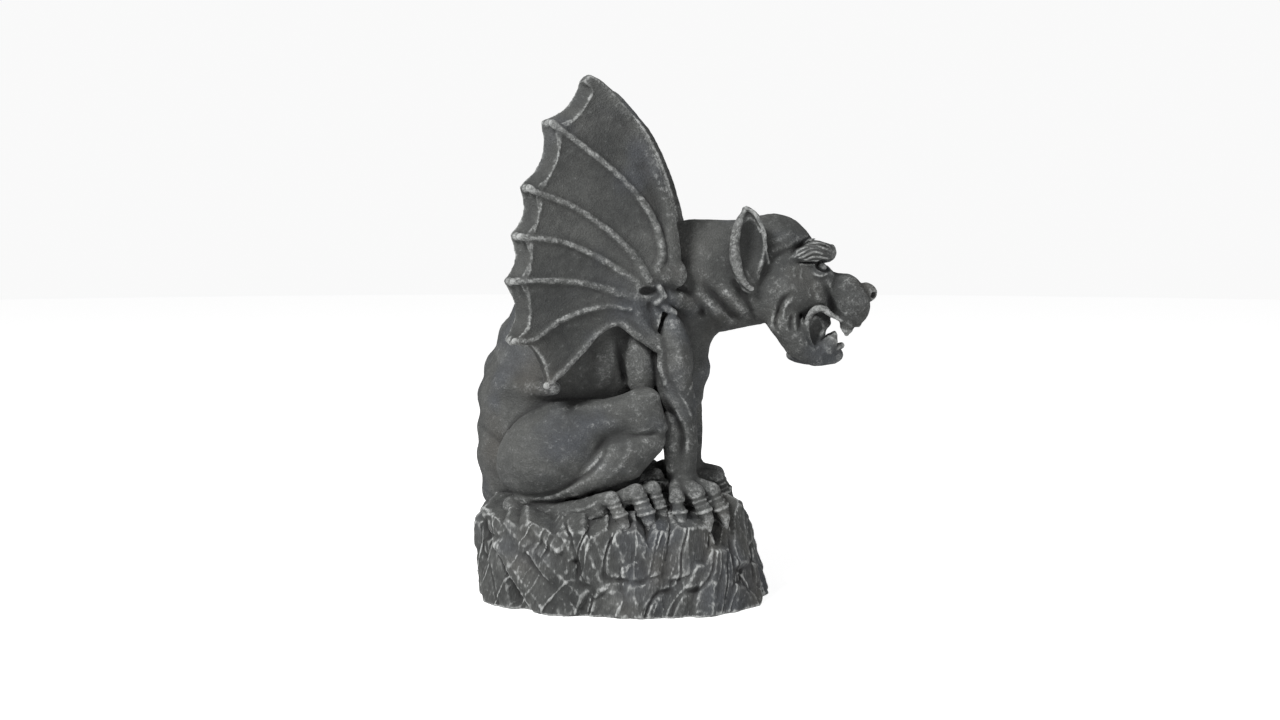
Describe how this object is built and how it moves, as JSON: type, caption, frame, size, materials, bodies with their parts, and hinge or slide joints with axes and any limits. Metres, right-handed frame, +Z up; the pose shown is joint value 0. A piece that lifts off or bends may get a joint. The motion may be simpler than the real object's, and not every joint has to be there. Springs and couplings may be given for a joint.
{
  "type": "gargoyle statue",
  "caption": "Winged hound gargoyle sitting up on a crag of rock, jaws open, bat wings raised behind its neck, cast in one piece to stand on its flat underside.",
  "frame": {"origin": "middle of the crag's flat underside", "axes": "+X the way the beast looks, +Y its left, +Z up"},
  "size_m": [0.3118, 0.2026, 0.3978],
  "materials": {
    "cast_stone": "dark grey cast stone, dry, with pale grey rubbed on its ridges and edges"
  },
  "bodies": {
    "root": {"gargoyle": "cast_stone"}
  },
  "joints": []
}
